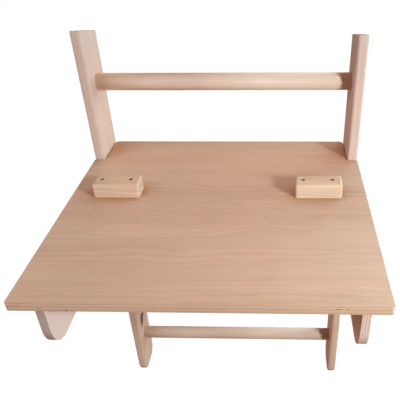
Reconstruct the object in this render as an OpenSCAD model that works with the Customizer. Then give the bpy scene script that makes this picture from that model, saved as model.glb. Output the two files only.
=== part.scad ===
// Slant board: a ladder-type beech frame with a plywood deck that rests on one
// rung, hooks behind it with a rail, and bears on the rung below with the
// heels of its two side cheeks. Millimetres, +Z up.
// Origin: on the floor plane, at the centre of the footprint.
// +X is to the right, +Y runs from the front edge of the deck to the frame.

/* [Deck] */
// Width of the deck and of the frame
deck_w = 600; // [560:1:640]
// Length of the deck, front to back
deck_len = 620; // [600:1:660]
// Distance the stiles stand out behind the deck's back edge
stile_over = 4; // [0:0.5:10]
// Thickness of the plywood deck
deck_t = 15; // [12:0.5:18]
// Height of the deck's top face above the feet
deck_top = 710; // [690:1:725]
// Radius of the deck's two front corners
deck_corner_r = 5; // [2:0.5:12]
// Gap between the deck's notch and a stile's inner face
notch_gap = 2; // [1.5:0.5:8]
// Radius of the two corners at the back of the deck
tongue_r = 9; // [4:1:16]
// Gap between the deck's notch and a stile's front face
notch_front_gap = 2.4; // [1.2:0.2:4]

/* [Frame] */
// Thickness of a stile, across the frame
stile_t = 22; // [20:0.5:28]
// Depth of a stile, front to back
stile_d = 107; // [90:1:115]
// Height of the left stile's front edge above the deck's top face
stile_above_left = 275; // [220:0.5:300]
// Height of the right stile's front edge above the deck's top face
stile_above_right = 264.5; // [220:0.5:300]
// Fall of a stile's sloping top end, front to back
top_fall = 22; // [0:1:30]
// Radius of a stile's long edges
stile_r = 6; // [2:0.5:8]
// Radius of a foot's front corner
foot_front_r = 32; // [10:1:40]
// Radius of a foot's rear corner
foot_rear_r = 36; // [10:1:50]

/* [Rungs] */
// Diameter of a rung
rung_d = 36; // [32:0.5:38]
// Height of the hand rung's centre above the deck's top face
hand_rung_up = 159; // [130:1:190]
// Spacing of the rungs below the deck
rung_pitch = 185.5; // [180:0.5:192]
// Diameter of the tenon at each end of a rung
tenon_d = 24; // [18:1:28]
// Length of a tenon
tenon_len = 14; // [10:1:16]
// Diameter of the screw in each rung end
rung_screw_d = 5; // [4:0.5:6]
// Length of the screw in each rung end
rung_screw_len = 60; // [45:1:70]

/* [Cheeks] */
// Thickness of a side cheek
cheek_t = 15; // [12:0.5:18]
// Gap between a cheek's outer face and the stile
cheek_gap = 4; // [1:0.5:6]
// Set-back of a cheek's front edge from the deck's front edge
cheek_front = 33; // [20:1:80]
// Depth of a cheek below the deck's top face
cheek_drop = 137; // [120:1:160]
// Radius of a cheek's front lower corner
cheek_nose_r = 50; // [20:1:60]
// Depth of the rear heel below the deck's top face
heel_drop = 252; // [246:1:270]
// Length of the heel, front to back
heel_len = 95; // [70:1:120]
// Clearance between a heel and the rung it bears on
heel_clear = 0.3; // [0.1:0.1:1]

/* [Stop blocks] */
// Width of a stop block
block_w = 94; // [70:1:110]
// Depth of a stop block, front to back
block_d = 45; // [35:1:55]
// Height of a stop block
block_h = 28.5; // [24:0.5:32]
// Distance of the left block's centre from the middle of the deck
block_x_left = 205.5; // [180:0.5:225]
// Distance of the right block's centre from the middle of the deck
block_x_right = 203; // [180:0.5:225]
// Distance of the left block's front face from the deck's front edge
block_front_left = 336; // [300:1:360]
// Distance of the right block's front face from the deck's front edge
block_front_right = 337; // [300:1:360]
// Distance of a block's screws behind the middle of the block
block_screw_back = 3; // [0:0.5:6]
// Distance of a block's screws to the left of the middle of the block
block_screw_side = 2; // [0:0.5:4]
// Radius of a block's edges
block_r = 5; // [1:0.5:7]
// Spacing of the two screws in a block
block_screw_gap = 59; // [45:1:65]
// Diameter of the counterbore over a screw
counterbore_d = 9; // [8.8:0.1:11]
// Diameter of the dark screw heads in the blocks
block_screw_head = 8.6; // [7:0.2:8.6]
// Depth of the counterbore
counterbore_depth = 1; // [0.5:0.5:8]

/* [Battens] */
// Side of the square fixing batten
batten_s = 22; // [18:1:25]
// Length of the fixing batten
batten_len = 430; // [300:5:440]
// Number of upright screws in a batten
batten_up_screws = 4; // [2:1:5]
// Number of sideways screws in a batten
batten_side_screws = 3; // [2:1:4]

/* [Hook rail] */
// Thickness of the rail that hooks behind the rung
rail_t = 24; // [20:1:26]
// Depth of the rail below the deck
rail_h = 48; // [40:1:60]
// Radius of the rail's lower edges
rail_r = 6; // [2:1:8]
// Clearance between the rail and the rung
rail_clear = 0.4; // [0.2:0.1:1]
// Number of screws that hold the rail
rail_screws_n = 4; // [3:1:6]

/* [Hidden] */

half_w = deck_w / 2;
front_y = -(deck_len + stile_over) / 2; // front edge of the deck
deck_back_y = front_y + deck_len;       // back edge of the deck
back_y = deck_back_y + stile_over;      // back plane of the frame
stile_front_y = back_y - stile_d;       // front face of the stiles
inner_x = half_w - stile_t;             // inner face of the stiles
tongue_x = inner_x - notch_gap;         // side of the deck between the stiles
cheek_outer_x = inner_x - cheek_gap;
cheek_inner_x = cheek_outer_x - cheek_t;
deck_bottom = deck_top - deck_t;

rest_gap = 0.1;                         // daylight between deck and rung
rung_y = back_y - stile_d / 2;          // axis of every rung, front to back
hang_z = deck_bottom - rung_d / 2 - rest_gap; // axis of the rung under the deck
rung_z = [deck_top + hand_rung_up, for (i = [0 : 3]) hang_z - i * rung_pitch];

cut = 1;    // how far a cutting shape runs past the face it cuts
fit = 0.04; // radial clearance round screws and tenons

beech = [0.86, 0.75, 0.66];
maple = [0.90, 0.80, 0.66];
ply = [0.80, 0.66, 0.54];
ply_side = [0.82, 0.70, 0.62];
steel = [0.25, 0.22, 0.20];
zinc = [0.75, 0.75, 0.72];

// ---------- shared shapes ----------

// Positions of count items spread over a length, with an inset at each end.
function spread(start, length, inset, count) =
    [for (i = [0 : count - 1]) start + inset + i * (length - 2 * inset) / (count - 1)];

module mirrored() { mirror([1, 0, 0]) children(); }

module both_sides() {
    children();
    mirrored() children();
}

// Extrudes a Y-Z outline towards +X from an origin.
module extrude_x(origin, length) {
    translate(origin) rotate([90, 0, 90]) linear_extrude(height = length) children();
}

// Extrudes an X-Z outline towards +Y from an origin.
module extrude_y(origin, length) {
    translate(origin) rotate([90, 0, 0]) mirror([0, 0, 1])
        linear_extrude(height = length) children();
}

// Rectangle with four rounded corners, made of squares and true circles.
module rrect(w, h, r) {
    union() {
        translate([r, 0]) square([w - 2 * r, h]);
        translate([0, r]) square([w, h - 2 * r]);
        for (x = [r, w - r], y = [r, h - r])
            translate([x, y]) circle(r = r, $fn = 48);
    }
}

// Rectangle rounded at its two upper corners only.
module rrect_top(w, h, r) {
    union() {
        translate([r, 0]) square([w - 2 * r, h]);
        square([w, h - r]);
        for (x = [r, w - r])
            translate([x, h - r]) circle(r = r, $fn = 48);
    }
}

// Waste outside the rounding of an outer corner. dir holds the signs of the
// x and y directions in which the corner points.
module corner_waste(corner, r, dir) {
    translate(corner - r * dir) difference() {
        translate([for (side = dir) side > 0 ? 0 : -r - cut]) square(r + cut);
        circle(r = r, $fn = 96);
    }
}

// ---------- screws ----------
// A screw's size is [diameter, length, head diameter].

sink = 0.15;    // how far a screw head sits below flush
head_rim = 0.5; // height of the straight rim of a head
hole_extra = 0.5; // how far a hole runs past each end of its screw

screw_d = 4; // screws of the blocks and battens
batten_screw_head = 7.8;
rung_screw_head = rung_screw_d * 1.9;
rail_screw_d = 5;
rail_screw_head = 9.5;

// How far the screws stop short of the far face of the second part
block_screw_short = 4;
batten_screw_short = 5;
rail_screw_short = 6;

rung_screw = [rung_screw_d, rung_screw_len, rung_screw_head];
block_screw = [screw_d, block_h - counterbore_depth + deck_t - block_screw_short,
               block_screw_head];
up_screw = [screw_d, batten_s + deck_t - batten_screw_short, batten_screw_head];
side_screw = [screw_d, batten_s + cheek_t - batten_screw_short, batten_screw_head];
rail_screw = [rail_screw_d, rail_h + deck_t - rail_screw_short, rail_screw_head];

// Wood screw pointing to -Z, its flat head sunk just below z = 0. The head
// has a cross recess.
module wood_screw(size) {
    r = size[0] / 2;
    len = size[1];
    head_d = size[2];
    slot_len = 0.56 * head_d;
    slot_w = 0.12 * head_d;
    slot_depth = 0.22 * head_d;
    slot_above = 0.08 * head_d;
    translate([0, 0, -sink]) difference() {
        rotate_extrude($fn = 40)
            polygon([[0, 0], [head_d / 2, 0], [head_d / 2, -head_rim],
                     [r, -head_rim - (head_d / 2 - r)],
                     [r, -len + 2 * r], [0, -len]]);
        for (a = [0, 90])
            rotate([0, 0, a])
                translate([-slot_len / 2, -slot_w / 2, -slot_depth])
                    cube([slot_len, slot_w, slot_depth + slot_above]);
    }
}

// The hole that fits that screw, running on above z = 0.
module screw_hole(size) {
    r = size[0] / 2;
    head_r = size[2] / 2;
    bottom = -size[1] - hole_extra;
    rim = -head_rim - sink;
    rotate_extrude($fn = 40)
        polygon([[0, hole_extra], [head_r + fit, hole_extra],
                 [head_r + fit, rim], [r + fit, rim - (head_r - r)],
                 [r + fit, bottom], [0, bottom]]);
}

// ---------- frame ----------

// Disc on the X axis with rounded rims, as thick as a stile, which carries
// the edge rounding of the stile round a corner of the foot.
module foot_disc(r) {
    rotate([0, 90, 0]) translate([0, 0, inner_x])
        rotate_extrude($fn = 96) union() {
            square([r - stile_r, stile_t]);
            translate([0, stile_r]) square([r, stile_t - 2 * stile_r]);
            for (y = [stile_r, stile_t - stile_r])
                translate([r - stile_r, y]) intersection() {
                    circle(r = stile_r, $fn = 48);
                    // keeps the profile on one side of the axis
                    translate([-r + stile_r, -stile_t])
                        square([r + 1, 2 * stile_t]);
                }
        }
}

// Upright with rounded long edges, from height bottom to just above top.
module stile_upright(bottom, top) {
    translate([inner_x, stile_front_y, bottom])
        linear_extrude(height = top + cut - bottom) rrect(stile_t, stile_d, stile_r);
}

// Body of a right-hand stile: an upright bar and a foot with two rounded
// corners, ending in a cut that falls to the back. top is its front height.
module stile_bar(top) {
    sole_y = stile_front_y + foot_front_r;
    sole_overlap = 10;  // how far the sole reaches up into the upright
    slope_over = 5;     // how far the sloping cut runs past front and back
    slope_above = 10;   // height of the cutting shape above top
    slope_rise = slope_over * top_fall / stile_d;
    difference() {
        union() {
            // upright above the front corner, kept clear of the rear corner
            intersection() {
                stile_upright(foot_front_r, top);
                translate([inner_x - 1, stile_front_y - 1, 0])
                    cube([stile_t + 2, stile_d - foot_rear_r + 1, top + 2]);
            }
            // full-depth upright above the rear corner
            stile_upright(foot_rear_r, top);
            // sole between the two corners
            extrude_y([inner_x, sole_y, 0], stile_d - foot_front_r - foot_rear_r)
                rrect(stile_t, foot_rear_r + sole_overlap, stile_r);
            translate([0, sole_y, foot_front_r]) foot_disc(foot_front_r);
            translate([0, back_y - foot_rear_r, foot_rear_r]) foot_disc(foot_rear_r);
        }
        // sloping top end
        extrude_x([inner_x - cut, 0, 0], stile_t + 2 * cut)
            polygon([[stile_front_y - slope_over, top + slope_rise],
                     [back_y + slope_over, top - top_fall - slope_rise],
                     [back_y + slope_over, top + slope_above],
                     [stile_front_y - slope_over, top + slope_above]]);
    }
}

// Rung screws of the right-hand stile, heads in its outer face.
module at_rung_screws() {
    for (z = rung_z)
        translate([half_w, rung_y, z]) rotate([0, 90, 0]) children();
}

// Right-hand stile; the left one is mirrored.
module stile(above_deck) {
    tenon_end_gap = 0.2;
    difference() {
        stile_bar(deck_top + above_deck);
        // blind sockets for the tenons
        for (z = rung_z)
            translate([inner_x - cut, rung_y, z]) rotate([0, 90, 0])
                cylinder(d = tenon_d + 2 * fit, h = tenon_len + cut + tenon_end_gap,
                         $fn = 64);
        at_rung_screws() screw_hole([rung_screw_d, stile_t + cut, rung_screw_head]);
    }
}

module stile_right() { color(beech) stile(stile_above_right); }
module stile_left() { color(beech) mirrored() stile(stile_above_left); }

// Round bar along X, centred on x = 0.
module round_bar(d, half_len, facets) {
    translate([-half_len, 0, 0]) rotate([0, 90, 0])
        cylinder(d = d, h = 2 * half_len, $fn = facets);
}

// Rung: a turned bar with a tenon at each end and a pilot hole in each tenon.
module rung(z) {
    end_x = inner_x + tenon_len;
    pilot_extra = 1; // how far the pilot runs past the screw's nominal length
    pilot_len = rung_screw_len - (stile_t - tenon_len) + pilot_extra;
    color(beech) translate([0, rung_y, z]) difference() {
        union() {
            round_bar(rung_d, inner_x, 96);
            round_bar(tenon_d, end_x, 64);
        }
        for (side = [-1, 1])
            translate([side * (end_x + cut), 0, 0]) rotate([0, -side * 90, 0])
                cylinder(d = rung_screw_d + 2 * fit, h = pilot_len + cut, $fn = 40);
    }
}

// Numbered from the top: the hand rung, the rung under the deck, then down.
module rung_1() { rung(rung_z[0]); }
module rung_2() { rung(rung_z[1]); }
module rung_3() { rung(rung_z[2]); }
module rung_4() { rung(rung_z[3]); }
module rung_5() { rung(rung_z[4]); }

module rung_screws() { at_rung_screws() wood_screw(rung_screw); }
module rung_screws_right() { color(zinc) rung_screws(); }
module rung_screws_left() { color(zinc) mirrored() rung_screws(); }

// ---------- deck ----------

module deck_outline() {
    notch_len = stile_d + 5; // runs out past the back edge
    difference() {
        translate([-half_w, front_y]) square([deck_w, deck_len]);
        for (side = [-1, 1]) {
            corner_waste([side * half_w, front_y], deck_corner_r, [side, -1]);
            // notch for the stile
            translate([side > 0 ? tongue_x : -half_w - cut,
                       stile_front_y - notch_front_gap])
                square([stile_t + notch_gap + cut, notch_len]);
            // eased corner at the back
            corner_waste([side * tongue_x, deck_back_y], tongue_r, [side, 1]);
        }
    }
}

module deck_board() {
    color(ply) difference() {
        translate([0, 0, deck_bottom]) linear_extrude(height = deck_t) deck_outline();
        both_sides() at_up_screws() screw_hole(up_screw);
        for (place = [block_right, block_left])
            at_block_screws(place) screw_hole(block_screw);
        at_rail_screws() screw_hole(rail_screw);
    }
}

// ---------- cheeks ----------

heel_front_r = 24; // front lower corner of the heel
heel_back_r = 8;   // back lower corner of the heel
heel_inside_r = 40; // inside curve between lower edge and heel

// Side outline of a cheek in the Y-Z plane: rounded nose, level lower edge,
// and a heel whose upright back edge bears on the rung below.
module cheek_outline() {
    front = front_y + cheek_front;
    back = rung_y - rung_d / 2 - heel_clear;
    heel_front = back - heel_len;
    bottom = deck_top - cheek_drop;
    heel_bottom = deck_top - heel_drop;
    overlap = 1; // keeps the joined shapes in one piece
    difference() {
        union() {
            // main plate
            translate([front, bottom]) square([back - front, deck_bottom - bottom]);
            // heel
            translate([heel_front, heel_bottom])
                square([heel_len, bottom - heel_bottom + overlap]);
            // inside curve
            translate([heel_front - heel_inside_r, bottom - heel_inside_r])
                difference() {
                    square(heel_inside_r + overlap);
                    circle(r = heel_inside_r, $fn = 96);
                }
        }
        corner_waste([front, bottom], cheek_nose_r, [-1, -1]);
        corner_waste([heel_front, heel_bottom], heel_front_r, [-1, -1]);
        corner_waste([back, heel_bottom], heel_back_r, [1, -1]);
    }
}

module cheek() {
    difference() {
        extrude_x([cheek_inner_x, 0, 0], cheek_t) cheek_outline();
        at_side_screws() screw_hole(side_screw);
    }
}

module cheek_right() { color(ply_side) cheek(); }
module cheek_left() { color(ply_side) mirrored() cheek(); }

// ---------- stop blocks ----------

// Place of each block: [x of its centre, y of its front face]
block_right = [block_x_right, front_y + block_front_right];
block_left = [-block_x_left, front_y + block_front_left];

// The two screws of a block, pointing down, heads in the counterbores.
module at_block_screws(place) {
    for (side = [-1, 1])
        translate([place.x - block_screw_side + side * block_screw_gap / 2,
                   place.y + block_d / 2 + block_screw_back,
                   deck_top + block_h - counterbore_depth]) children();
}

// Solid wood with rounded upright and top edges and two screw holes.
module stop_block(place) {
    left = place.x - block_w / 2;
    front = place.y;
    difference() {
        intersection() {
            translate([left, front, deck_top]) linear_extrude(height = block_h)
                rrect(block_w, block_d, block_r);
            extrude_y([left, front - cut, deck_top], block_d + 2 * cut)
                rrect_top(block_w, block_h, block_r);
            extrude_x([left - cut, front, deck_top], block_w + 2 * cut)
                rrect_top(block_d, block_h, block_r);
        }
        at_block_screws(place) {
            screw_hole(block_screw);
            cylinder(d = counterbore_d, h = counterbore_depth + cut, $fn = 40);
        }
    }
}

module stop_block_right() { color(maple) stop_block(block_right); }
module stop_block_left() { color(maple) stop_block(block_left); }

module block_screws(place) { at_block_screws(place) wood_screw(block_screw); }
module block_screws_right() { color(steel) block_screws(block_right); }
module block_screws_left() { color(steel) block_screws(block_left); }

// ---------- battens ----------

batten_setback = 30;    // from the cheek's front edge
up_screw_inset = 25;    // from the batten's ends
side_screw_inset = 70;
batten_front_y = front_y + cheek_front + batten_setback;
batten_inner_x = cheek_inner_x - batten_s;
batten_bottom = deck_bottom - batten_s;

// Upright screws of a batten: heads down, points up into the deck.
module at_up_screws() {
    for (y = spread(batten_front_y, batten_len, up_screw_inset, batten_up_screws))
        translate([cheek_inner_x - batten_s / 2, y, batten_bottom])
            rotate([180, 0, 0]) children();
}

// Sideways screws of a batten: heads inwards, points into the cheek.
module at_side_screws() {
    for (y = spread(batten_front_y, batten_len, side_screw_inset, batten_side_screws))
        translate([batten_inner_x, y, deck_bottom - batten_s / 2])
            rotate([0, -90, 0]) children();
}

// Fixing batten in the corner between a cheek and the deck.
module batten() {
    difference() {
        translate([batten_inner_x, batten_front_y, batten_bottom])
            cube([batten_s, batten_len, batten_s]);
        at_up_screws() screw_hole(up_screw);
        at_side_screws() screw_hole(side_screw);
    }
}

module batten_right() { color(beech) batten(); }
module batten_left() { color(beech) mirrored() batten(); }

module batten_screws() {
    at_up_screws() wood_screw(up_screw);
    at_side_screws() wood_screw(side_screw);
}

module batten_screws_right() { color(zinc) batten_screws(); }
module batten_screws_left() { color(zinc) mirrored() batten_screws(); }

// ---------- hook rail ----------

rail_end_gap = 1;      // from each end of the rail to the side of the deck
rail_screw_inset = 50; // from the rail's ends
rail_w = 2 * (tongue_x - rail_end_gap);
rail_front_y = rung_y + rung_d / 2 + rail_clear;

// Rail screws: heads down, points up into the deck.
module at_rail_screws() {
    for (x = spread(-rail_w / 2, rail_w, rail_screw_inset, rail_screws_n))
        translate([x, rail_front_y + rail_t / 2, deck_bottom - rail_h])
            rotate([180, 0, 0]) children();
}

// Rail under the back of the deck, behind the rung it hangs on.
module hook_rail() {
    color(beech) difference() {
        extrude_x([-rail_w / 2, rail_front_y, deck_bottom], rail_w)
            mirror([0, 1]) rrect_top(rail_t, rail_h, rail_r);
        at_rail_screws() screw_hole(rail_screw);
    }
}

module hook_rail_screws() { color(zinc) at_rail_screws() wood_screw(rail_screw); }

stile_left();
stile_right();
rung_1();
rung_2();
rung_3();
rung_4();
rung_5();
rung_screws_left();
rung_screws_right();
deck_board();
cheek_left();
cheek_right();
stop_block_left();
stop_block_right();
block_screws_left();
block_screws_right();
batten_left();
batten_right();
batten_screws_left();
batten_screws_right();
hook_rail();
hook_rail_screws();
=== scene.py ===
import math

import bpy
from mathutils import Matrix, Vector


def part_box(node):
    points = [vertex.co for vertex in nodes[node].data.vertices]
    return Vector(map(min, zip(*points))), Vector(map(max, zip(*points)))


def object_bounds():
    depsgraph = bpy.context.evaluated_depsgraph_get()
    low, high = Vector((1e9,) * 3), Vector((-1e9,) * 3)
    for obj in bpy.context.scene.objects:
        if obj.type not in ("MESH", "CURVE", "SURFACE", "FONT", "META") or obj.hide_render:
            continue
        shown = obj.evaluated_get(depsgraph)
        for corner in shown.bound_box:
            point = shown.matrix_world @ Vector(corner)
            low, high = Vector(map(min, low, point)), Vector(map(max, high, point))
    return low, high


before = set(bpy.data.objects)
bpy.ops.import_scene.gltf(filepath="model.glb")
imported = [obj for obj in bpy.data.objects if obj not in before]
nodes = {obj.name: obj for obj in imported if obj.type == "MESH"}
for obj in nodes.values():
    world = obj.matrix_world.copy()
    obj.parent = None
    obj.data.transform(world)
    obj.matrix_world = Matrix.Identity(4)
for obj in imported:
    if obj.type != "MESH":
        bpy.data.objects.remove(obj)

cad_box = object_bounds()
scene = bpy.context.scene


# ------------------------------------------------------------------ helpers
def lin(r, g, b):
    """Screen colour (0-255) to linear light."""
    out = []
    for c in (r, g, b):
        c /= 255.0
        out.append(c / 12.92 if c <= 0.04045 else ((c + 0.055) / 1.055) ** 2.4)
    return tuple(out) + (1.0,)


class Tree:
    """A short way to write node trees."""

    def __init__(self, tree):
        self.t = tree

    def new(self, kind, **props):
        n = self.t.nodes.new(kind)
        for k, v in props.items():
            setattr(n, k, v)
        return n

    def put(self, socket, value):
        if isinstance(value, bpy.types.NodeSocket):
            self.t.links.new(value, socket)
        else:
            socket.default_value = value

    def math(self, op, a, b=0.0, c=None, clamp=False):
        n = self.new("ShaderNodeMath", operation=op, use_clamp=clamp)
        self.put(n.inputs[0], a)
        self.put(n.inputs[1], b)
        if c is not None:
            self.put(n.inputs[2], c)
        return n.outputs[0]

    def ramp(self, v, lo, hi, a=0.0, b=1.0, smooth=True):
        n = self.new("ShaderNodeMapRange",
                     interpolation_type="SMOOTHSTEP" if smooth else "LINEAR")
        for s, x in zip(("Value", "From Min", "From Max", "To Min", "To Max"),
                        (v, lo, hi, a, b)):
            self.put(n.inputs[s], x)
        return n.outputs[0]

    def xyz(self, x, y, z):
        n = self.new("ShaderNodeCombineXYZ")
        for s, v in zip(n.inputs, (x, y, z)):
            self.put(s, v)
        return n.outputs[0]

    def noise(self, vec, scale=1.0, detail=3.0, rough=0.55, distort=0.0,
              dims="3D", w=None, lac=2.0):
        n = self.new("ShaderNodeTexNoise", noise_dimensions=dims)
        if vec is not None:
            self.put(n.inputs["Vector"], vec)
        if w is not None:
            self.put(n.inputs["W"], w)
        self.put(n.inputs["Scale"], scale)
        self.put(n.inputs["Detail"], detail)
        self.put(n.inputs["Roughness"], rough)
        self.put(n.inputs["Lacunarity"], lac)
        self.put(n.inputs["Distortion"], distort)
        return n.outputs["Fac"]

    def mix(self, fac, a, b, blend="MIX"):
        n = self.new("ShaderNodeMix", data_type="RGBA", blend_type=blend)
        n.clamp_factor = True
        self.put(n.inputs[0], fac)
        self.put(n.inputs[6], a)
        self.put(n.inputs[7], b)
        return n.outputs[2]

    def scaled(self, colour, k):
        """colour times a number socket or value."""
        n = self.new("ShaderNodeVectorMath", operation="SCALE")
        if isinstance(colour, tuple):
            colour = colour[:3]
        self.put(n.inputs[0], colour)
        self.put(n.inputs["Scale"], k)
        return n.outputs[0]


    def stroke(self, u, v, points, wide, taper, wobble=None):
        """0 away from a drawn stroke, 1 inside it. points are (u, v) pairs;
        the half width runs from wide to taper along the stroke."""
        if wobble is not None:
            v = self.math("ADD", v, wobble)
        best = None
        last = len(points) - 1
        for i in range(max(last, 1)):
            (au, av), (bu, bv) = points[i], points[min(i + 1, last)]
            du, dv = bu - au, bv - av
            size2 = max(du * du + dv * dv, 1e-6)
            pu = self.math("SUBTRACT", u, au)
            pv = self.math("SUBTRACT", v, av)
            h = self.math("MULTIPLY_ADD", pu, du / size2,
                          self.math("MULTIPLY", pv, dv / size2), clamp=True)
            qu = self.math("SUBTRACT", pu, self.math("MULTIPLY", h, du))
            qv = self.math("SUBTRACT", pv, self.math("MULTIPLY", h, dv))
            d = self.math("SQRT", self.math("MULTIPLY_ADD", qu, qu,
                                            self.math("MULTIPLY", qv, qv)))
            w0 = wide + (taper - wide) * i / max(last, 1)
            w1 = wide + (taper - wide) * (i + 1) / max(last, 1)
            w = self.math("MULTIPLY_ADD", h, w1 - w0, w0)
            k = self.math("DIVIDE", d, w)
            k = self.ramp(k, 0.35, 1.35, 1.0, 0.0)
            best = k if best is None else self.math("MAXIMUM", best, k)
        return best


def blank(name):
    m = bpy.data.materials.new(name)
    m.use_nodes = True
    m.node_tree.nodes.clear()
    t = Tree(m.node_tree)
    out = t.new("ShaderNodeOutputMaterial")
    bsdf = t.new("ShaderNodeBsdfPrincipled")
    t.put(out.inputs["Surface"], bsdf.outputs[0])
    return m, t, bsdf


AX = {"X": 0, "Y": 1, "Z": 2}


def wood(name, grain, tone, pith=(-70.0, 30.0), climb=0.03, band=9.0,
         seed=0.0, figure=1.0, rough=0.46, ply=None, flecks=1.0, contrast=1.0,
         wear=1.0, sway=30.0, spread=0.34, drifting=0.42, eyes=(), strokes=(), waver=0.0, painted_occlusion_shade=None,
         marks=(), warm=1.0, level=None, painted_light_fade=None, edge_painted_light_gain=1.0,
         painted_light_fade_tint=(1.0, 1.0, 1.0, 1.0)):
    """Beech or beech plywood. grain is the axis the fibres run along. tone is
    (mean, pale, dark) in linear colour. pith is where the middle of the tree
    lay across the grain, in millimetres; climb leans it, which draws the
    pointed arches of a flat-sawn face. eyes are swellings (a, b, la, lb, push)
    which the rings flow round. ply = (axis, low, thick, plies) lays the veneers
    of a plywood sheet along that axis; plies lists each veneer's share of the
    thickness and how light it is, from low to high. level is where the pith
    stops climbing. painted_light_fade = (from, to, gain, gain) is painted light: it drifts the tone end to end as the
    light falls off along the piece. strokes are dark marks and stains drawn on one
    face: (face, side, points, wide, taper, colour, amount, wobble)."""
    mean, pale, dark = tone
    m, t, bsdf = blank(name)
    co = t.new("ShaderNodeTexCoord")
    mm = t.new("ShaderNodeVectorMath", operation="SCALE")
    t.put(mm.inputs[0], co.outputs["Object"])
    mm.inputs["Scale"].default_value = 1000.0
    sep = t.new("ShaderNodeSeparateXYZ")
    t.put(sep.inputs[0], mm.outputs[0])
    nor = t.new("ShaderNodeSeparateXYZ")
    t.put(nor.inputs[0], co.outputs["Normal"])
    g = AX[grain]
    others = [i for i in range(3) if i != g]
    a = t.math("ADD", sep.outputs[g], seed * 137.0)
    b = t.math("ADD", sep.outputs[others[0]], seed * 11.0)
    c = t.math("ADD", sep.outputs[others[1]], seed * 7.0)

    # slow wander of the fibres
    wander = t.noise(t.xyz(t.math("MULTIPLY", a, 0.0042),
                           t.math("MULTIPLY", b, 0.011),
                           t.math("MULTIPLY", c, 0.011)), 1.0, 2.0, 0.5)
    wander = t.math("MULTIPLY", t.math("SUBTRACT", wander, 0.5), sway)
    # distance from the pith, which leans along the grain
    rb = t.math("SUBTRACT", t.math("ADD", b, wander), pith[0] + seed * 11.0)
    lean = a
    if level is not None:
        lean = t.math("ADD", t.math("MINIMUM", a, level),
                      t.math("MULTIPLY", t.math("MAXIMUM", t.math("SUBTRACT", a, level), 0.0), 0.15))
    rc = t.math("SUBTRACT", t.math("ADD", c, t.math("MULTIPLY", lean, climb)),
                pith[1] + seed * 7.0 + climb * seed * 137.0)
    r = t.math("SQRT", t.math("ADD", t.math("MULTIPLY", rb, rb),
                              t.math("MULTIPLY", rc, rc)))
    for (ea, eb, la, lb, push) in eyes:
        ua = t.math("DIVIDE", t.math("SUBTRACT", sep.outputs[g], ea), la)
        ub = t.math("DIVIDE", t.math("SUBTRACT", sep.outputs[others[0]], eb), lb)
        dd = t.math("MULTIPLY_ADD", ua, ua, t.math("MULTIPLY", ub, ub))
        r = t.math("ADD", r, t.math("DIVIDE", push, t.math("ADD", dd, 1.0)))
    # a little ripple keeps the rings from being ruled lines
    ripple = t.noise(t.xyz(t.math("MULTIPLY", a, 0.030),
                           t.math("MULTIPLY", b, 0.10),
                           t.math("MULTIPLY", c, 0.10)), 1.0, 2.0, 0.5)
    r = t.math("ADD", r, t.math("MULTIPLY", t.math("SUBTRACT", ripple, 0.5), band * 0.35))
    if waver:
        slow = t.noise(t.xyz(t.math("MULTIPLY", a, 0.0105),
                             t.math("MULTIPLY", b, 0.034),
                             t.math("MULTIPLY", c, 0.034)), 1.0, 2.0, 0.5)
        r = t.math("ADD", r, t.math("MULTIPLY", t.math("SUBTRACT", slow, 0.5), waver))
    rings = t.noise(None, 1.0 / band, 5.0, 0.62, 0.0, "1D", r)
    rings = t.ramp(rings, 0.30, 0.70, 0.0, 1.0)
    ring_hue = t.noise(None, 0.6 / band, 2.0, 0.6, 0.0, "1D", t.math("ADD", r, 311.0))
    # thin late-wood lines
    line = t.math("SINE", t.math("MULTIPLY", r, 2.0 * math.pi / (band * 0.38)))
    line = t.ramp(line, 0.55, 1.0, 0.0, 1.0)
    present = t.noise(t.xyz(t.math("MULTIPLY", a, 0.0050),
                            t.math("MULTIPLY", b, 0.040),
                            t.math("MULTIPLY", c, 0.040)), 1.0, 2.0, 0.5)
    line = t.math("MULTIPLY", line, t.ramp(present, 0.42, 0.62, 0.0, 1.4))
    # broad drift of tone across the piece
    drift = t.noise(t.xyz(t.math("MULTIPLY", a, 0.0022),
                          t.math("MULTIPLY", b, 0.014),
                          t.math("MULTIPLY", c, 0.014)), 1.0, 3.0, 0.55)
    drift = t.ramp(drift, 0.28, 0.72, 0.0, 1.0)
    # fibres: long thin streaks
    fibre = t.noise(t.xyz(t.math("MULTIPLY", a, 0.018),
                          t.math("MULTIPLY", b, 0.75),
                          t.math("MULTIPLY", c, 0.75)), 1.0, 4.0, 0.6, 0.15)
    fine = t.noise(t.xyz(t.math("MULTIPLY", a, 0.12),
                         t.math("MULTIPLY", b, 3.2),
                         t.math("MULTIPLY", c, 3.2)), 1.0, 2.0, 0.6)
    # short brown ray flecks
    ray = t.noise(t.xyz(t.math("MULTIPLY", a, 0.34),
                        t.math("MULTIPLY", b, 2.3),
                        t.math("MULTIPLY", c, 2.3)), 1.0, 1.0, 0.4)
    ray = t.ramp(ray, 0.66, 0.74, 0.0, 1.0)
    # warm and cool patches
    hue = t.noise(t.xyz(t.math("MULTIPLY", a, 0.0060),
                        t.math("MULTIPLY", b, 0.030),
                        t.math("MULTIPLY", c, 0.030)), 1.0, 3.0, 0.6, 0.4)
    hue = t.math("ADD", t.math("MULTIPLY", hue, 0.55), t.math("MULTIPLY", ring_hue, 0.45))
    hue = t.ramp(hue, 0.36, 0.64, 0.0, 1.0)

    value = t.math("MULTIPLY", t.math("SUBTRACT", rings, 0.5), spread * figure)
    value = t.math("ADD", value, t.math("MULTIPLY", t.math("SUBTRACT", drift, 0.5), drifting))
    value = t.math("ADD", value, t.math("MULTIPLY", t.math("SUBTRACT", fibre, 0.5), 0.55))
    value = t.math("ADD", value, t.math("MULTIPLY", t.math("SUBTRACT", fine, 0.5), 0.30))
    value = t.math("SUBTRACT", value, t.math("MULTIPLY", line, 0.10 * figure))
    value = t.math("MULTIPLY_ADD", value, contrast, 0.5, clamp=True)
    col = t.mix(value, dark, pale)
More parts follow.
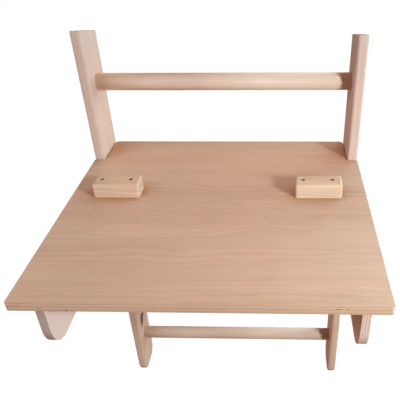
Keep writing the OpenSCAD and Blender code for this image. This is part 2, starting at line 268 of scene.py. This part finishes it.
    # the pink and straw shades of steamed beech
    pinkish = t.mix(1.0, col, (1.0 + 0.028 * warm, 1.0 - 0.030 * warm,
                               1.0 - 0.040 * warm, 1.0), "MULTIPLY")
    strawy = t.mix(1.0, col, (1.0 - 0.022 * warm, 1.0 + 0.020 * warm,
                              1.0 + 0.016 * warm, 1.0), "MULTIPLY")
    col = t.mix(hue, strawy, pinkish)
    col = t.mix(t.math("MULTIPLY", ray, 0.17 * flecks), col,
                tuple(x * 0.58 for x in mean[:3]) + (1.0,))

    # end grain: darker, with close pores
    end = t.math("ABSOLUTE", nor.outputs[g])
    end = t.ramp(end, 0.55, 0.92, 0.0, 1.0)
    pores = t.noise(t.xyz(t.math("MULTIPLY", a, 0.5), t.math("MULTIPLY", b, 2.6),
                          t.math("MULTIPLY", c, 2.6)), 1.0, 2.0, 0.7)
    pores = t.ramp(pores, 0.35, 0.65, 0.70, 0.92)
    edge_bump = None
    if ply is None:
        col_end = t.scaled(col, pores)
        col = t.mix(end, col, col_end)
        rgh_end = end
    else:
        axis, low, thick, plies = ply
        count = len(plies)
        i = AX[axis]
        across = [j for j in range(3) if j != i]
        wave = t.noise(t.xyz(t.math("MULTIPLY", sep.outputs[across[0]], 0.02),
                             t.math("MULTIPLY", sep.outputs[across[1]], 0.02),
                             seed), 1.0, 3.0, 0.6)
        depth = t.math("SUBTRACT", sep.outputs[i], low)
        depth = t.math("ADD", depth, t.math("MULTIPLY", t.math("SUBTRACT", wave, 0.5), 0.8))
        total = sum(p[0] for p in plies)
        h, at = None, 0.0
        for share, _ in plies:
            part = share / total * thick
            one = t.math("MULTIPLY_ADD", depth, 1.0 / part, -at / part, clamp=True)
            h = one if h is None else t.math("ADD", h, one)
            at += part
        h = t.math("MINIMUM", t.math("MAXIMUM", h, 0.001), count - 0.001)
        layer = t.math("FLOOR", h)
        frac = t.math("SUBTRACT", h, layer)
        odd = t.math("MODULO", t.math("ADD", layer, 20.0), 2.0)
        odd = t.math("ROUND", odd)
        # an edge facing along the face grain shows the odd veneers' long
        # side; the other edges show the even ones'
        along = t.math("ABSOLUTE", nor.outputs[g])
        along = t.ramp(along, 0.45, 0.75, 0.0, 1.0)
        isend = t.math("ABSOLUTE", t.math("SUBTRACT", odd, along))
        rand = t.new("ShaderNodeTexWhiteNoise", noise_dimensions="1D")
        t.put(rand.inputs["W"], t.math("ADD", layer, 3.7 + seed))
        steps = t.new("ShaderNodeValToRGB")
        steps.color_ramp.interpolation = "CONSTANT"
        el = steps.color_ramp.elements
        el[0].position, el[0].color = 0.0, (plies[0][1],) * 3 + (1.0,)
        el[1].position, el[1].color = 1.0 / count, (plies[1][1],) * 3 + (1.0,)
        for j in range(2, count):
            e = el.new(j / count)
            e.color = (plies[j][1],) * 3 + (1.0,)
        t.put(steps.inputs[0], t.math("DIVIDE", h, float(count)))
        tone_k = t.math("MULTIPLY", t.math("MULTIPLY_ADD", rand.outputs["Value"], 0.08, 0.96),
                        steps.outputs["Color"])
        long_col = t.scaled(t.mix(fibre, dark, pale), tone_k)
        end_noise = t.noise(mm.outputs[0], 1.1, 3.0, 0.7)
        end_k = t.math("MULTIPLY", tone_k, t.ramp(end_noise, 0.3, 0.7, 0.80, 1.0))
        end_col = t.scaled(t.mix(0.22, mean, lin(190, 122, 84)), end_k)
        # painted light: the ply edges are scaled by a gain, lighter where light falls on them, darker where they lie
        # in shade
        lay_col = t.scaled(t.mix(isend, long_col, end_col), edge_painted_light_gain)
        # glue lines
        glue = t.math("MINIMUM", frac, t.math("SUBTRACT", 1.0, frac))
        glue = t.ramp(glue, 0.02, 0.12, 0.30, 0.0)
        lay_col = t.mix(glue, lay_col, lin(120, 74, 50))
        # a few open joints in the inner plies
        gapn = t.noise(t.xyz(t.math("MULTIPLY", sep.outputs[across[0]], 0.021),
                             t.math("MULTIPLY", sep.outputs[across[1]], 0.021),
                             t.math("MULTIPLY", layer, 5.3)), 1.0, 0.0, 0.5)
        gapm = t.math("MULTIPLY", t.ramp(gapn, 0.75, 0.80, 0.0, 0.45),
                      t.ramp(t.math("ABSOLUTE", t.math("SUBTRACT", frac, 0.5)), 0.12, 0.34, 1.0, 0.0))
        lay_col = t.mix(gapm, lay_col, lin(70, 40, 26))
        for (mx, mz, length, high) in marks:
            # one long dark void in the edge that faces -Y
            u = t.math("DIVIDE", t.math("SUBTRACT", sep.outputs[across[0]], mx), length)
            v = t.math("DIVIDE", t.math("SUBTRACT", sep.outputs[i], mz), high)
            d = t.math("ADD", t.math("MULTIPLY", u, u), t.math("MULTIPLY", v, v))
            lay_col = t.mix(t.ramp(d, 0.4, 1.2, 0.85, 0.0), lay_col, lin(84, 46, 30))
        flat = t.math("ABSOLUTE", nor.outputs[i])
        on_edge = t.ramp(flat, 0.45, 0.80, 1.0, 0.0)
        col = t.mix(on_edge, col, lay_col)
        rgh_end = on_edge
        edge_bump = t.math("MULTIPLY", on_edge, t.math("SUBTRACT", 1.0, glue))

    for face, side_sign, points, wide, taper, paint, amount, wobble in strokes:
        i = AX[face]
        uv = [j for j in range(3) if j != i]
        w = None
        if wobble:
            w = t.noise(t.xyz(t.math("MULTIPLY", sep.outputs[uv[0]], 0.05),
                              t.math("MULTIPLY", sep.outputs[uv[1]], 0.05), 4.0),
                        1.0, 3.0, 0.6)
            w = t.math("MULTIPLY", t.math("SUBTRACT", w, 0.5), wobble)
        k = t.stroke(sep.outputs[uv[0]], sep.outputs[uv[1]], points, wide, taper, w)
        facing = t.ramp(t.math("MULTIPLY", nor.outputs[i], side_sign), 0.4, 0.8, 0.0, 1.0)
        k = t.math("MULTIPLY", t.math("MULTIPLY", k, facing), amount)
        col = t.mix(k, col, paint)

    # worn arrises, a little paler and smoother; the paler mix is also a painted highlight along the rounded edges
    bev = t.new("ShaderNodeBevel", samples=4)
    bev.inputs["Radius"].default_value = 0.0028
    geo = t.new("ShaderNodeNewGeometry")
    dot = t.new("ShaderNodeVectorMath", operation="DOT_PRODUCT")
    t.put(dot.inputs[0], bev.outputs[0])
    t.put(dot.inputs[1], geo.outputs["Normal"])
    worn_edge_and_highlight = t.ramp(dot.outputs["Value"], 0.80, 0.995, 1.0, 0.0)
    scuff = t.noise(mm.outputs[0], 0.11, 4.0, 0.65)
    worn_edge_and_highlight = t.math("MULTIPLY", worn_edge_and_highlight, t.ramp(scuff, 0.35, 0.62, 0.25, 1.0))
    col = t.mix(t.math("MULTIPLY", worn_edge_and_highlight, 0.22 * wear), col,
                tuple(min(1.0, x * 1.16) for x in pale[:3]) + (1.0,))
    # painted light: the tone is scaled from one end of the piece to the other along the grain, as the light falls off
    # along it
    if painted_light_fade is not None:
        at0, at1, k0, k1 = painted_light_fade
        k = t.ramp(sep.outputs[g], at0, at1, 1.0, 0.0)
        col = t.mix(k, t.scaled(col, k1), t.mix(1.0, t.scaled(col, k0), painted_light_fade_tint, "MULTIPLY"))
    # faint handling marks
    smudge = t.noise(mm.outputs[0], 0.012, 4.0, 0.6, 0.6)
    col = t.scaled(col, t.ramp(smudge, 0.35, 0.75, 1.012, 0.972))
    if painted_occlusion_shade is not None:
        # painted shade: darkens and warms the colour where the ambient occlusion node finds other parts close by, in
        # corners, beside the blocks and under the deck, as shade lit by light from the wood around it
        reach, open_at, shade = painted_occlusion_shade
        painted_shade_mask = t.new("ShaderNodeAmbientOcclusion")
        painted_shade_mask.samples = 6
        painted_shade_mask.inputs["Distance"].default_value = reach
        painted_shade_mask = t.ramp(painted_shade_mask.outputs["AO"], 0.45, open_at, 1.0, 0.0, smooth=False)
        broad = t.ramp(t.math("ABSOLUTE", nor.outputs[AX[ply[0]]]), 0.60, 0.95, 0.0, 1.0)
        col = t.mix(t.math("MULTIPLY", painted_shade_mask, broad), col, shade + (1.0,), "MULTIPLY")
    t.put(bsdf.inputs["Base Color"], col)

    rg = t.math("MULTIPLY_ADD", t.math("SUBTRACT", fibre, 0.5), 0.16, rough)
    rg = t.math("ADD", rg, t.math("MULTIPLY", rgh_end, 0.14))
    rg = t.math("ADD", rg, t.math("MULTIPLY", t.math("SUBTRACT", smudge, 0.5), 0.14))
    rg = t.math("SUBTRACT", rg, t.math("MULTIPLY", worn_edge_and_highlight, 0.06), clamp=True)
    t.put(bsdf.inputs["Roughness"], rg)
    bsdf.inputs["Specular IOR Level"].default_value = 0.36
    bsdf.inputs["Coat Weight"].default_value = 0.10
    bsdf.inputs["Coat Roughness"].default_value = 0.38

    hgt = t.math("MULTIPLY", fibre, 0.55)
    hgt = t.math("ADD", hgt, t.math("MULTIPLY", fine, 0.30))
    hgt = t.math("SUBTRACT", hgt, t.math("MULTIPLY", ray, 0.35 * flecks))
    hgt = t.math("ADD", hgt, t.math("MULTIPLY", rings, 0.20 * figure))
    if edge_bump is not None:
        hgt = t.math("ADD", hgt, t.math("MULTIPLY", edge_bump, 0.9))
    bump = t.new("ShaderNodeBump")
    bump.inputs["Strength"].default_value = 0.35
    bump.inputs["Distance"].default_value = 0.00022
    t.put(bump.inputs["Height"], hgt)
    t.put(bsdf.inputs["Normal"], bump.outputs[0])
    return m


def metal(name, base, dark, rough, seed, shine=0.9, spec=0.5):
    """Plated or blackened screw steel with turning marks and wear."""
    m, t, bsdf = blank(name)
    co = t.new("ShaderNodeTexCoord")
    mm = t.new("ShaderNodeVectorMath", operation="SCALE")
    t.put(mm.inputs[0], co.outputs["Object"])
    mm.inputs["Scale"].default_value = 1000.0
    off = t.new("ShaderNodeVectorMath", operation="ADD")
    t.put(off.inputs[0], mm.outputs[0])
    off.inputs[1].default_value = (seed, seed * 2.0, seed * 3.0)
    big = t.noise(off.outputs[0], 0.35, 4.0, 0.6)
    small = t.noise(off.outputs[0], 4.0, 3.0, 0.65)
    col = t.mix(t.ramp(big, 0.35, 0.68), dark, base)
    col = t.scaled(col, t.ramp(small, 0.3, 0.7, 0.90, 1.08))
    t.put(bsdf.inputs["Base Color"], col)
    bsdf.inputs["Metallic"].default_value = shine
    bsdf.inputs["Specular IOR Level"].default_value = spec
    t.put(bsdf.inputs["Roughness"],
          t.math("MULTIPLY_ADD", small, 0.22, rough - 0.11, clamp=True))
    bump = t.new("ShaderNodeBump")
    bump.inputs["Strength"].default_value = 0.25
    bump.inputs["Distance"].default_value = 0.00008
    t.put(bump.inputs["Height"], t.math("ADD", small, big))
    t.put(bsdf.inputs["Normal"], bump.outputs[0])
    return m


# ------------------------------------------------------------------ colours
def tones(mean, spread=0.16):
    r, g, b, _ = mean
    pale = (min(1, r * (1 + spread)), min(1, g * (1 + spread * 1.10)),
            min(1, b * (1 + spread * 1.2)), 1.0)
    dark = (r * (1 - spread), g * (1 - spread * 1.35), b * (1 - spread * 1.6), 1.0)
    return mean, pale, dark


def tuned(rgb, k):
    return tuple(min(0.98, x * y) for x, y in zip(lin(*rgb)[:3], k)) + (1.0,)


DECK = tones(tuned((200, 165, 140), (1.025, 1.010, 1.005)), 0.14)
# painted light and shade: two copies of the cheek colour, a brighter, bluer one for the left cheek whose inner face is
# lit, a darker one for the right cheek whose inner face is in shade
CHEEK_LEFT_PAINTED_LIGHT = tones(tuned((214, 186, 172), (1.080, 1.170, 1.270)), 0.10)
CHEEK_RIGHT_PAINTED_SHADE = tones(tuned((214, 186, 172), (0.930, 0.960, 0.990)), 0.10)
FRAME = tones(tuned((214, 188, 172), (0.940, 0.890, 0.870)), 0.10)
RUNG = tones(tuned((208, 180, 158), (1.140, 1.140, 1.150)), 0.09)
BLOCK = tones(tuned((218, 186, 156), (1.020, 1.000, 1.010)), 0.11)
HIDDEN = tones(lin(208, 176, 150), 0.13)

lo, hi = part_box("deck_board")
deck_low = lo.z * 1000.0
deck_thick = (hi.z - lo.z) * 1000.0
deck_front = lo.y * 1000.0

# share of the thickness and lightness of each veneer, from the low side up
BOARD_PLIES = ((1.4, 0.84), (2.5, 0.98), (2.4, 0.90), (2.4, 1.06), (2.4, 0.86),
               (2.5, 1.32), (1.2, 0.62))
CHEEK_PLIES = ((1.4, 1.12), (2.2, 0.74), (2.7, 1.10), (2.0, 0.70), (2.7, 1.10),
               (2.2, 0.74), (1.8, 1.14))
BROWN = lin(122, 78, 54)
deck_top = hi.z * 1000.0

materials = {
    "deck_board": wood(
        "deck_plywood", "X", DECK, pith=(-57.0, deck_top - 48.0), climb=0.13,
        band=9.0, seed=0.0, figure=1.0, sway=40.0, spread=0.36, drifting=0.44, level=110.0, waver=20.0,
        # painted shade: the deck darkened and warmed beside the blocks and stiles
        painted_occlusion_shade=(0.08, 0.93, (0.66, 0.42, 0.17)),
        # painted light: the deck's ply edges made lighter
        ply=("Z", deck_low, deck_thick, BOARD_PLIES), flecks=0.8, warm=0.58, edge_painted_light_gain=1.20,
        # painted light: the left of the deck made lighter and bluer
        painted_light_fade=(-320.0, 60.0, 1.09, 1.0), painted_light_fade_tint=(0.99, 1.01, 1.06, 1.0),
        eyes=((62.0, deck_front + 78.0, 52.0, 13.0, 9.0),
              (-150.0, deck_front + 158.0, 90.0, 22.0, 7.0),
              (150.0, deck_front + 420.0, 120.0, 30.0, 8.0)),
        strokes=(
            ("Z", 1.0, ((-222.0, deck_front + 209.0), (-221.0, deck_front + 209.0)), 1.8, 1.2, BROWN, 0.45, 0),
            ("Z", 1.0, ((174.0, deck_front + 74.5), (176.0, deck_front + 74.5)), 1.6, 1.0, BROWN, 0.45, 0),
            ("Z", 1.0, ((236.0, deck_front + 150.0), (237.5, deck_front + 150.0)), 1.6, 1.0, BROWN, 0.40, 0),
            ("Z", 1.0, ((135.0, deck_front + 196.0), (160.0, deck_front + 209.0),
                        (183.0, deck_front + 216.0), (209.0, deck_front + 228.0)),
             1.6, 1.2, BROWN, 0.15, 14.0),
        ),
        marks=((215.0, deck_top - 4.5, 5.8, 0.8), (229.0, deck_top - 4.6, 2.6, 0.6),
               (-204.0, deck_top - 12.5, 1.6, 1.6))),
}
for side, s in (("left", -1.0), ("right", 1.0)):
    clo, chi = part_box("cheek_" + side)
    # painted light and shade: each cheek takes its own lit or shaded copy of the colour
    materials["cheek_" + side] = wood(
        "cheek_plywood_" + side, "Y", CHEEK_RIGHT_PAINTED_SHADE if side == "right" else CHEEK_LEFT_PAINTED_LIGHT,
        # painted light and shade: the right cheek's ply edges made lighter, the left cheek's darker
        pith=(s * 330.0, 600.0), edge_painted_light_gain=1.32 if side == "right" else 0.87,
        # painted shade: the right cheek darkened and warmed under the deck
        painted_occlusion_shade=(0.30, 0.97, (0.66, 0.48, 0.28)) if side == "right" else None,
        climb=0.04, band=15.0, seed=1.0 + s * 0.3, figure=0.9, warm=0.8,
        ply=("X", clo.x * 1000.0, (chi.x - clo.x) * 1000.0, CHEEK_PLIES), flecks=0.7)
    slo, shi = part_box("stile_" + side)
    dark_streak = ()
    if side == "left":
        inner = slo.x * 1000.0
        # a dark teardrop streak drawn on the inner face of the left stile, above the lower rung
        dark_streak = (
            ("X", 1.0, ((278.0, 183.0), (262.0, 188.5), (249.0, 190.0), (238.0, 181.0), (229.0, 171.5)),
             6.5, 2.4, lin(112, 70, 48), 0.70, 1.5),
            ("X", 1.0, ((251.0, 187.0), (242.0, 168.0)), 21.0, 14.0, lin(138, 94, 68), 0.45, 3.0),
            ("X", 1.0, ((250.0, 186.0), (243.5, 171.0)), 15.0, 9.0, lin(60, 31, 22), 0.93, 2.0),
        )
    materials["stile_" + side] = wood(
        "stile_beech_" + side, "Z", FRAME, pith=(s * 390.0, 240.0),
        climb=0.012, band=8.0, seed=3.0 + s, figure=0.8, drifting=0.22, warm=0.5,
        # painted light: the stiles lighter low down and darker towards the top
        painted_light_fade=(760.0, 950.0, 1.09, 0.95) if side == "right" else (760.0, 950.0, 1.05, 0.965),
        strokes=dark_streak)
    blo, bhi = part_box("stop_block_" + side)
    materials["stop_block_" + side] = wood(
        "block_wood_" + side, "X", BLOCK, pith=(blo.y * 1000.0 - 30.0,
                                               blo.z * 1000.0 - 60.0),
        climb=0.05, band=5.0, seed=5.0 + s, figure=1.5, contrast=1.2)
    materials["batten_" + side] = wood(
        "batten_beech_" + side, "Y", HIDDEN, pith=(s * 300.0, 600.0),
        climb=0.02, band=7.0, seed=8.0 + s)
for k in range(1, 6):
    rlo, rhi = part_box("rung_%d" % k)
    materials["rung_%d" % k] = wood(
        "rung_beech_%d" % k, "X", RUNG,
        pith=((rlo.y + rhi.y) * 500.0 - 30.0 - 6.0 * k,
              (rlo.z + rhi.z) * 500.0 - 45.0),
        climb=0.02, band=7.0, seed=10.0 + k, figure=0.7, drifting=0.10, warm=0.5,
        # painted light: the left ends of the rungs made much lighter and cooler
        painted_light_fade=(-284.0, -40.0, 1.50, 1.0), painted_light_fade_tint=(0.98, 1.09, 1.17, 1.0), rough=0.56)
materials["hook_rail"] = wood("rail_beech", "X", HIDDEN, pith=(320.0, 600.0),
                              climb=0.02, band=8.0, seed=17.0)
dark_steel = metal("dark_screw_steel", (0.014, 0.009, 0.007, 1), (0.005, 0.003, 0.0025, 1),
                   0.78, 3.0, shine=0.0, spec=0.10)
zinc_steel = metal("zinc_screw_steel", (0.56, 0.56, 0.54, 1), (0.36, 0.36, 0.35, 1), 0.36, 9.0)
for n in nodes:
    if "screws" in n:
        materials[n] = dark_steel if n.startswith("block") else zinc_steel

# ------------------------------------------------- edges and smooth shading
BEVEL = {"deck_board": 0.0028, "cheek_left": 0.0014, "cheek_right": 0.0014,
         "stile_left": 0.0014, "stile_right": 0.0014,
         "stop_block_left": 0.0005, "stop_block_right": 0.0005,
         "batten_left": 0.001, "batten_right": 0.001, "hook_rail": 0.001}

for name, ob in nodes.items():
    ob.data.materials.clear()
    ob.data.materials.append(materials[name])
    for p in ob.data.polygons:
        p.use_smooth = True
    weld = ob.modifiers.new("weld", "WELD")
    weld.merge_threshold = 0.000004
    if name in BEVEL:
        flat = ob.modifiers.new("flat", "DECIMATE")
        flat.decimate_type = "DISSOLVE"
        flat.angle_limit = math.radians(0.4)
        bev = ob.modifiers.new("ease", "BEVEL")
        bev.width = BEVEL[name]
        bev.segments = 3
        bev.limit_method = "ANGLE"
        bev.angle_limit = math.radians(38.0)
        bev.use_clamp_overlap = True
        bev.miter_outer = "MITER_ARC"
        wn = ob.modifiers.new("normals", "WEIGHTED_NORMAL")
        wn.mode = "FACE_AREA_WITH_ANGLE"
        wn.weight = 60
        wn.keep_sharp = False

# ------------------------------------------------------------ floor and light
size = max(cad_box[1][i] - cad_box[0][i] for i in range(3))
mesh = bpy.data.meshes.new("floor")
s = 14.0
mesh.from_pydata([(-s, -s, 0), (s, -s, 0), (s, s, 0), (-s, s, 0)], [], [(0, 1, 2, 3)])
floor = bpy.data.objects.new("floor", mesh)
floor.location.z = cad_box[0][2] - 0.0005
scene.collection.objects.link(floor)
fm = bpy.data.materials.new("floor_paper")
fm.use_nodes = True
fm.node_tree.nodes.clear()
t = Tree(fm.node_tree)
out = t.new("ShaderNodeOutputMaterial")
path = t.new("ShaderNodeLightPath")
seen = t.new("ShaderNodeEmission")
seen.inputs["Color"].default_value = (1, 1, 1, 1)
seen.inputs["Strength"].default_value = 1.05
paper = t.new("ShaderNodeBsdfDiffuse")
paper.inputs["Color"].default_value = (0.86, 0.86, 0.86, 1)
diffuse = t.new("ShaderNodeBsdfDiffuse")
diffuse.inputs["Color"].default_value = (0.44, 0.27, 0.12, 1)
glow = t.new("ShaderNodeEmission")
glow.inputs["Color"].default_value = (1.0, 0.5, 0.3, 1)
glow.inputs["Strength"].default_value = 0.0
bounce = t.new("ShaderNodeAddShader")
t.put(bounce.inputs[0], diffuse.outputs[0])
t.put(bounce.inputs[1], glow.outputs[0])
look = t.new("ShaderNodeMixShader")
look.inputs[0].default_value = 0.05
t.put(look.inputs[1], seen.outputs[0])
t.put(look.inputs[2], paper.outputs[0])
# the floor is seen from above only, so the underside can be looked at
turned = t.new("ShaderNodeNewGeometry")
clear = t.new("ShaderNodeBsdfTransparent")
above = t.new("ShaderNodeMixShader")
t.put(above.inputs[0], turned.outputs["Backfacing"])
t.put(above.inputs[1], look.outputs[0])
t.put(above.inputs[2], clear.outputs[0])
both = t.new("ShaderNodeMixShader")
t.put(both.inputs[0], path.outputs["Is Camera Ray"])
t.put(both.inputs[1], bounce.outputs[0])
t.put(both.inputs[2], above.outputs[0])
t.put(out.inputs[0], both.outputs[0])
floor.data.materials.append(fm)

world = bpy.data.worlds.new("studio")
scene.world = world
world.use_nodes = True
world.node_tree.nodes.clear()
t = Tree(world.node_tree)
out = t.new("ShaderNodeOutputWorld")
path = t.new("ShaderNodeLightPath")
b1 = t.new("ShaderNodeBackground")
b1.inputs["Color"].default_value = (1.0, 0.95, 0.92, 1)
b1.inputs["Strength"].default_value = 0.03
b2 = t.new("ShaderNodeBackground")
b2.inputs["Color"].default_value = (1, 1, 1, 1)
b2.inputs["Strength"].default_value = 1.0
mixw = t.new("ShaderNodeMixShader")
t.put(mixw.inputs[0], path.outputs["Is Camera Ray"])
t.put(mixw.inputs[1], b1.outputs[0])
t.put(mixw.inputs[2], b2.outputs[0])
t.put(out.inputs[0], mixw.outputs[0])

dlo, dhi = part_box("deck_board")
aim = Vector((0.0, (dlo.y + dhi.y) / 2, dhi.z))


def lamp(name, where, power, width, colour=(1, 1, 1), at=aim):
    light = bpy.data.lights.new(name, "AREA")
    light.shape = "DISK"
    light.size = width
    light.energy = power
    light.color = colour
    ob = bpy.data.objects.new(name, light)
    ob.location = where
    ob.rotation_euler = (at - Vector(where)).to_track_quat("-Z", "Y").to_euler()
    scene.collection.objects.link(ob)
    return ob


def toward(az, el, dist):
    a, e = math.radians(az), math.radians(el)
    return aim + dist * Vector((math.sin(a) * math.cos(e), -math.cos(a) * math.cos(e),
                                math.sin(e)))


def watts(strength, dist):
    return strength * math.pi ** 2 * dist ** 2


for name, az, el, dist, width, colour in (
        ("key", 48, 20.5, 1.8, 0.32, (0.900, 1.080, 1.190)),
        ("right", 90, 8, 2.6, 1.8, (0.240, 0.250, 0.252)),
        ("right_rear", 140, 8, 2.6, 1.8, (0.373, 0.440, 0.500)),
        ("right_rear_high", 140, 38, 2.6, 1.8, (0.120, 0.180, 0.200)),
        ("rear_high", 180, 38, 2.6, 1.8, (0.240, 0.140, 0.100)),
        ("left", -90, 8, 2.6, 1.8, (0.314, 0.293, 0.370)),
        ("left_front", -50, 8, 2.6, 1.8, (0.090, 0.010, 0.005)),
        ("left_front_high", -50, 38, 2.6, 1.8, (0.225, 0.305, 0.320)),
        ("top", 0, 89, 2.6, 1.8, (0.170, 0.080, 0.020))):
    lamp(name, toward(az, el, dist), watts(1.0, dist), width, colour)

# ------------------------------------------------------------------- camera
cam = bpy.data.cameras.new("camera")
cam.sensor_fit = "HORIZONTAL"
cam.sensor_width = 36.0
cam.lens = 48.2675
cam.shift_x = -0.149824
cam.shift_y = 0.193638
cam.clip_start = 0.05
camera = bpy.data.objects.new("camera", cam)
scene.collection.objects.link(camera)
camera.location = Vector((aim.x + 0.120730, dlo.y - 0.620184, dhi.z + 0.525325))
camera.rotation_euler = (math.radians(52.82197), math.radians(0.66530),
                         math.radians(1.76529))
# the lens is shifted at this place only: a camera taken elsewhere round the
# object looks straight at it, so nothing is cropped
for shift, amount in (("shift_x", cam.shift_x), ("shift_y", cam.shift_y)):
    curve = cam.driver_add(shift)
    for modifier in list(curve.modifiers):
        curve.modifiers.remove(modifier)
    curve.driver.type = "SUM"
    place = curve.driver.variables.new()
    place.type = "TRANSFORMS"
    place.targets[0].id = camera
    place.targets[0].transform_type = "LOC_X"
    place.targets[0].transform_space = "WORLD_SPACE"
    curve.keyframe_points.add(3)
    for key, (at_x, held) in zip(curve.keyframe_points,
                                 ((camera.location.x - 0.10, 0.0),
                                  (camera.location.x - 0.02, amount),
                                  (camera.location.x + 0.02, 0.0))):
        key.co = (at_x, held)
        key.interpolation = "CONSTANT"
    curve.update()
scene.camera = camera
scene.view_settings.view_transform = "Standard"
scene.view_settings.look = "None"
scene.view_settings.exposure = 0.0
scene.view_settings.gamma = 1.0
